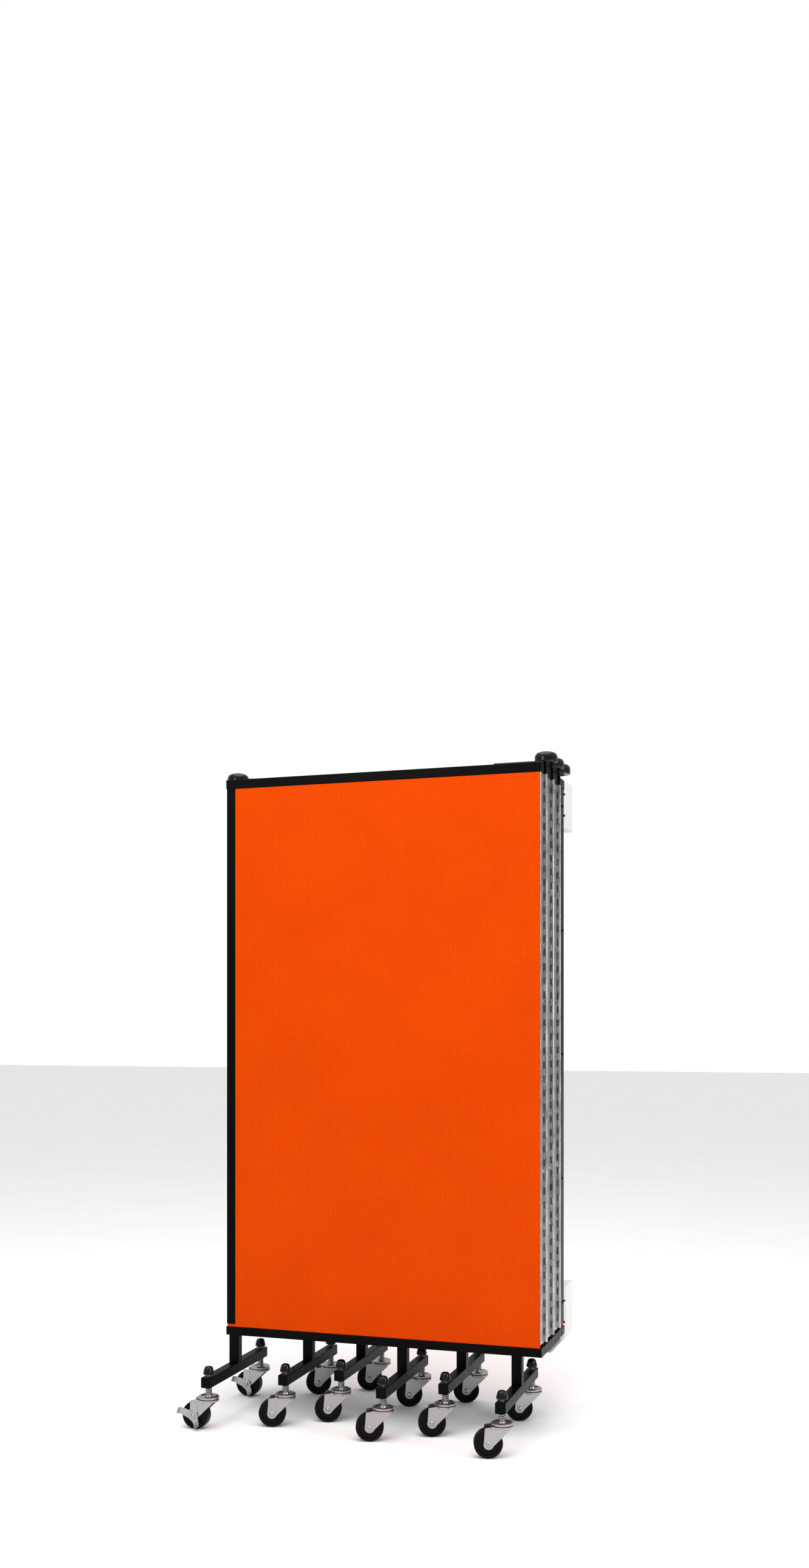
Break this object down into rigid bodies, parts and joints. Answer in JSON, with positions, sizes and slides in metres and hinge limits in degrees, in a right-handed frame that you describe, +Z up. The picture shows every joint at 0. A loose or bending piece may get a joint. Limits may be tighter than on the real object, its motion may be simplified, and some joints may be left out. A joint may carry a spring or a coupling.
{
  "type": "folding partition",
  "caption": "Wheeled room partition of fabric panels in black frames, joined by full-height hinges and folded into a stack held to a wall by two brackets.",
  "frame": {"origin": "on the floor, under the middle of the folded stack's footprint", "axes": "+X along the panels to the right, +Y back to the wall, +Z up"},
  "size_m": [1.0214, 0.6074, 1.8606],
  "materials": {
    "black_powder_coat": "satin powder coat",
    "orange_fabric": "woven panel fabric",
    "bright_steel": "rolled steel strip",
    "black_plastic": "moulded, semi-gloss",
    "white_steel": "white powder coat",
    "zinc_plated_steel": "bright zinc plate",
    "black_rubber": "moulded tread"
  },
  "bodies": {
    "panel_7": {"panel_7_frame": "black_powder_coat", "panel_7_board": "orange_fabric", "panel_7_hinge_leaves": "bright_steel", "wall_brackets": "white_steel"},
    "panel_6": {"panel_6_frame": "black_powder_coat", "panel_6_board": "orange_fabric", "panel_6_hinge_leaves": "bright_steel", "hinge_6_cap": "black_plastic"},
    "panel_5": {"panel_5_frame": "black_powder_coat", "panel_5_board": "orange_fabric", "panel_5_hinge_leaves": "bright_steel", "hinge_5_cap": "black_plastic", "leg_6": "black_powder_coat"},
    "panel_4": {"panel_4_frame": "black_powder_coat", "panel_4_board": "orange_fabric", "panel_4_hinge_leaves": "bright_steel", "hinge_4_cap": "black_plastic", "leg_5": "black_powder_coat"},
    "panel_3": {"panel_3_frame": "black_powder_coat", "panel_3_board": "orange_fabric", "panel_3_hinge_leaves": "bright_steel", "hinge_3_cap": "black_plastic", "leg_4": "black_powder_coat"},
    "panel_2": {"panel_2_frame": "black_powder_coat", "panel_2_board": "orange_fabric", "panel_2_hinge_leaves": "bright_steel", "hinge_2_cap": "black_plastic", "leg_3": "black_powder_coat"},
    "panel_1": {"panel_1_frame": "black_powder_coat", "panel_1_board": "orange_fabric", "panel_1_hinge_leaves": "bright_steel", "hinge_1_cap": "black_plastic", "leg_1": "black_powder_coat", "leg_2": "black_powder_coat"},
    "leg_1_front_swivel": {"leg_1_front_fork": "zinc_plated_steel"},
    "leg_1_front_wheel": {"leg_1_front_wheel": "black_rubber"},
    "leg_1_front_brake": {"leg_1_front_brake": "zinc_plated_steel"},
    "leg_1_rear_swivel": {"leg_1_rear_fork": "zinc_plated_steel"},
    "leg_1_rear_wheel": {"leg_1_rear_wheel": "black_rubber"},
    "leg_1_rear_brake": {"leg_1_rear_brake": "zinc_plated_steel"},
    "leg_2_front_swivel": {"leg_2_front_fork": "zinc_plated_steel"},
    "leg_2_front_wheel": {"leg_2_front_wheel": "black_rubber"},
    "leg_2_rear_swivel": {"leg_2_rear_fork": "zinc_plated_steel"},
    "leg_2_rear_wheel": {"leg_2_rear_wheel": "black_rubber"},
    "leg_3_front_swivel": {"leg_3_front_fork": "zinc_plated_steel"},
    "leg_3_front_wheel": {"leg_3_front_wheel": "black_rubber"},
    "leg_3_rear_swivel": {"leg_3_rear_fork": "zinc_plated_steel"},
    "leg_3_rear_wheel": {"leg_3_rear_wheel": "black_rubber"},
    "leg_4_front_swivel": {"leg_4_front_fork": "zinc_plated_steel"},
    "leg_4_front_wheel": {"leg_4_front_wheel": "black_rubber"},
    "leg_4_rear_swivel": {"leg_4_rear_fork": "zinc_plated_steel"},
    "leg_4_rear_wheel": {"leg_4_rear_wheel": "black_rubber"},
    "leg_5_front_swivel": {"leg_5_front_fork": "zinc_plated_steel"},
    "leg_5_front_wheel": {"leg_5_front_wheel": "black_rubber"},
    "leg_5_rear_swivel": {"leg_5_rear_fork": "zinc_plated_steel"},
    "leg_5_rear_wheel": {"leg_5_rear_wheel": "black_rubber"},
    "leg_6_front_swivel": {"leg_6_front_fork": "zinc_plated_steel"},
    "leg_6_front_wheel": {"leg_6_front_wheel": "black_rubber"},
    "leg_6_rear_swivel": {"leg_6_rear_fork": "zinc_plated_steel"},
    "leg_6_rear_wheel": {"leg_6_rear_wheel": "black_rubber"}
  },
  "joints": [
    {"name": "hinge_6_fold", "type": "hinge", "parent": "panel_7", "child": "panel_6", "pos_m": [-0.45232, 0.16241, 1], "axis": [0, 0, -1], "range_deg": [0, 180]},
    {"name": "hinge_5_fold", "type": "hinge", "parent": "panel_6", "child": "panel_5", "pos_m": [0.47968, 0.11701, 1], "axis": [0, 0, 1], "range_deg": [0, 170]},
    {"name": "hinge_4_fold", "type": "hinge", "parent": "panel_5", "child": "panel_4", "pos_m": [-0.45232, 0.07161, 1], "axis": [0, 0, -1], "range_deg": [0, 135]},
    {"name": "hinge_3_fold", "type": "hinge", "parent": "panel_4", "child": "panel_3", "pos_m": [0.47968, 0.02621, 1], "axis": [0, 0, 1], "range_deg": [0, 135]},
    {"name": "hinge_2_fold", "type": "hinge", "parent": "panel_3", "child": "panel_2", "pos_m": [-0.45232, -0.01919, 1], "axis": [0, 0, -1], "range_deg": [0, 180]},
    {"name": "hinge_1_fold", "type": "hinge", "parent": "panel_2", "child": "panel_1", "pos_m": [0.47968, -0.06459, 1], "axis": [0, 0, 1], "range_deg": [0, 180]},
    {"name": "leg_1_front_swivel", "type": "hinge", "parent": "panel_1", "child": "leg_1_front_swivel", "pos_m": [-0.42932, -0.26529, 0.09], "axis": [0, 0, 1], "continuous": true},
    {"name": "leg_1_front_roll", "type": "hinge", "parent": "leg_1_front_swivel", "child": "leg_1_front_wheel", "pos_m": [-0.46532, -0.26592, 0.038], "axis": [0.0175, -0.9998, 0], "continuous": true},
    {"name": "leg_1_front_brake_toggle", "type": "hinge", "parent": "leg_1_front_swivel", "child": "leg_1_front_brake", "pos_m": [-0.46532, -0.26592, 0.038], "axis": [0.0175, -0.9998, 0], "range_deg": [0, 22]},
    {"name": "leg_1_rear_swivel", "type": "hinge", "parent": "panel_1", "child": "leg_1_rear_swivel", "pos_m": [-0.42932, 0.09071, 0.09], "axis": [0, 0, 1], "continuous": true},
    {"name": "leg_1_rear_roll", "type": "hinge", "parent": "leg_1_rear_swivel", "child": "leg_1_rear_wheel", "pos_m": [-0.46532, 0.09008, 0.038], "axis": [0.0175, -0.9998, 0], "continuous": true},
    {"name": "leg_1_rear_brake_toggle", "type": "hinge", "parent": "leg_1_rear_swivel", "child": "leg_1_rear_brake", "pos_m": [-0.46532, 0.09008, 0.038], "axis": [0.0175, -0.9998, 0], "range_deg": [0, 22]},
    {"name": "leg_2_front_swivel", "type": "hinge", "parent": "panel_1", "child": "leg_2_front_swivel", "pos_m": [0.40568, -0.26529, 0.09], "axis": [0, 0, 1], "continuous": true},
    {"name": "leg_2_front_roll", "type": "hinge", "parent": "leg_2_front_swivel", "child": "leg_2_front_wheel", "pos_m": [0.37138, -0.27624, 0.038], "axis": [0.304, -0.9527, 0], "continuous": true},
    {"name": "leg_2_rear_swivel", "type": "hinge", "parent": "panel_1", "child": "leg_2_rear_swivel", "pos_m": [0.40568, 0.09071, 0.09], "axis": [0, 0, 1], "continuous": true},
    {"name": "leg_2_rear_roll", "type": "hinge", "parent": "leg_2_rear_swivel", "child": "leg_2_rear_wheel", "pos_m": [0.37138, 0.07977, 0.038], "axis": [0.304, -0.9527, 0], "continuous": true},
    {"name": "leg_3_front_swivel", "type": "hinge", "parent": "panel_2", "child": "leg_3_front_swivel", "pos_m": [0.06568, -0.21989, 0.09], "axis": [0, 0, 1], "continuous": true},
    {"name": "leg_3_front_roll", "type": "hinge", "parent": "leg_3_front_swivel", "child": "leg_3_front_wheel", "pos_m": [0.03138, -0.23084, 0.038], "axis": [0.304, -0.9527, 0], "continuous": true},
    {"name": "leg_3_rear_swivel", "type": "hinge", "parent": "panel_2", "child": "leg_3_rear_swivel", "pos_m": [0.06568, 0.13611, 0.09], "axis": [0, 0, 1], "continuous": true},
    {"name": "leg_3_rear_roll", "type": "hinge", "parent": "leg_3_rear_swivel", "child": "leg_3_rear_wheel", "pos_m": [0.03138, 0.12516, 0.038], "axis": [0.304, -0.9527, 0], "continuous": true},
    {"name": "leg_4_front_swivel", "type": "hinge", "parent": "panel_3", "child": "leg_4_front_swivel", "pos_m": [-0.23732, -0.17449, 0.09], "axis": [0, 0, 1], "continuous": true},
    {"name": "leg_4_front_roll", "type": "hinge", "parent": "leg_4_front_swivel", "child": "leg_4_front_wheel", "pos_m": [-0.27162, -0.18543, 0.038], "axis": [0.304, -0.9527, 0], "continuous": true},
    {"name": "leg_4_rear_swivel", "type": "hinge", "parent": "panel_3", "child": "leg_4_rear_swivel", "pos_m": [-0.23732, 0.18151, 0.09], "axis": [0, 0, 1], "continuous": true},
    {"name": "leg_4_rear_roll", "type": "hinge", "parent": "leg_4_rear_swivel", "child": "leg_4_rear_wheel", "pos_m": [-0.27162, 0.17056, 0.038], "axis": [0.304, -0.9527, 0], "continuous": true},
    {"name": "leg_5_front_swivel", "type": "hinge", "parent": "panel_4", "child": "leg_5_front_swivel", "pos_m": [0.21368, -0.12909, 0.09], "axis": [0, 0, 1], "continuous": true},
    {"name": "leg_5_front_roll", "type": "hinge", "parent": "leg_5_front_swivel", "child": "leg_5_front_wheel", "pos_m": [0.17938, -0.14003, 0.038], "axis": [0.304, -0.9527, 0], "continuous": true},
    {"name": "leg_5_rear_swivel", "type": "hinge", "parent": "panel_4", "child": "leg_5_rear_swivel", "pos_m": [0.21368, 0.22691, 0.09], "axis": [0, 0, 1], "continuous": true},
    {"name": "leg_5_rear_roll", "type": "hinge", "parent": "leg_5_rear_swivel", "child": "leg_5_rear_wheel", "pos_m": [0.17938, 0.21596, 0.038], "axis": [0.304, -0.9527, 0], "continuous": true},
    {"name": "leg_6_front_swivel", "type": "hinge", "parent": "panel_5", "child": "leg_6_front_swivel", "pos_m": [-0.10532, -0.08369, 0.09], "axis": [0, 0, 1], "continuous": true},
    {"name": "leg_6_front_roll", "type": "hinge", "parent": "leg_6_front_swivel", "child": "leg_6_front_wheel", "pos_m": [-0.13962, -0.09463, 0.038], "axis": [0.304, -0.9527, 0], "continuous": true},
    {"name": "leg_6_rear_swivel", "type": "hinge", "parent": "panel_5", "child": "leg_6_rear_swivel", "pos_m": [-0.10532, 0.27231, 0.09], "axis": [0, 0, 1], "continuous": true},
    {"name": "leg_6_rear_roll", "type": "hinge", "parent": "leg_6_rear_swivel", "child": "leg_6_rear_wheel", "pos_m": [-0.13962, 0.26137, 0.038], "axis": [0.304, -0.9527, 0], "continuous": true}
  ]
}
